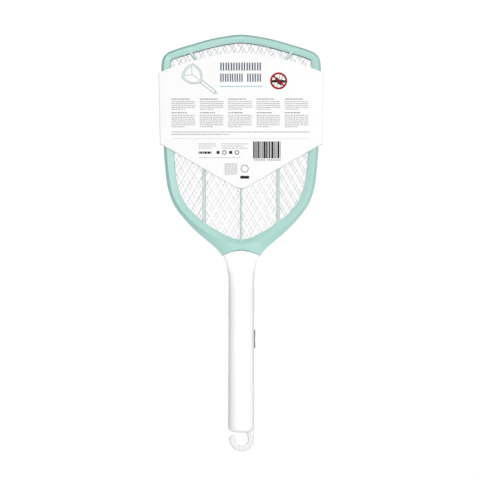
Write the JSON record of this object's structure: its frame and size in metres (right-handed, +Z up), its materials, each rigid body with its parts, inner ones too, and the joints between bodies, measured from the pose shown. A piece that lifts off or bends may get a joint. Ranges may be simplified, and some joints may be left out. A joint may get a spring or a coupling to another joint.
{
  "type": "electric fly swatter",
  "caption": "Racket-shaped electric fly swatter with wire grids in a moulded frame, a straight battery handle with slider and press button, a hanging hook and a retail card sleeve.",
  "frame": {"origin": "middle of the hand grip, on the handle's axis, where the hand holds it", "axes": "+Z up along the racket to the top of the head, -Y out of its back face, +X to the side with the thumb slider"},
  "size_m": [0.1854, 0.028, 0.4683],
  "materials": {
    "mint_plastic": "satin moulded",
    "white_plastic": "smooth moulded",
    "spacer_plastic": "moulded",
    "grid_wire": "drawn wire",
    "battery_jacket": "printed jacket, no print",
    "contact_metal": "nickel plated",
    "board_laminate": "solder mask",
    "ferrite": "sintered",
    "winding_tape": "tape",
    "capacitor_red": "dipped",
    "black_epoxy": "moulded",
    "resistor_body": "lacquered",
    "led_red": "clear tinted",
    "slider_plastic": "fine texture",
    "red_insulation": "extruded",
    "black_insulation": "extruded",
    "screw_steel": "zinc plated",
    "white_card": "coated card"
  },
  "bodies": {
    "racket": {"rear_frame": "mint_plastic", "front_frame": "mint_plastic", "rear_grid": "grid_wire", "middle_grid": "grid_wire", "front_grid": "grid_wire", "rear_spacer_ring": "spacer_plastic", "front_spacer_ring": "spacer_plastic", "rear_handle_shell": "white_plastic", "front_handle_shell": "white_plastic", "hanging_hook": "white_plastic", "lower_battery": "battery_jacket", "upper_battery": "battery_jacket", "negative_contact_spring": "contact_metal", "positive_contact": "contact_metal", "circuit_board": "board_laminate", "transformer_core": "ferrite", "transformer_winding": "winding_tape", "high_voltage_capacitor": "capacitor_red", "rectifier_diodes": "black_epoxy", "resistors": "resistor_body", "drive_transistor": "black_epoxy", "indicator_led": "led_red", "tact_switch": "black_epoxy", "button_spring": "contact_metal", "power_slide_switch": "contact_metal", "grid_leads": "red_insulation", "battery_leads": "black_insulation", "handle_screws": "screw_steel"},
    "cover": {"battery_cover": "white_plastic"},
    "button": {"press_button": "mint_plastic"},
    "slider": {"power_slider": "slider_plastic"},
    "card": {"card_sleeve": "white_card"}
  },
  "joints": [
    {"name": "cover_slide", "type": "slide", "parent": "racket", "child": "cover", "axis": [0, 0, -1], "range_m": [0, 0.12]},
    {"name": "button_press", "type": "slide", "parent": "racket", "child": "button", "axis": [0, -1, 0], "range_m": [0, 0.0015], "stiffness_N_per_m": 150, "springref_m": -0.003, "deforming": ["button_spring"]},
    {"name": "power_slide", "type": "slide", "parent": "racket", "child": "slider", "axis": [0, 0, 1], "range_m": [-0.004, 0.004]},
    {"name": "card_pull", "type": "slide", "parent": "racket", "child": "card", "axis": [0, 0, 1], "range_m": [0, 0.18]}
  ]
}
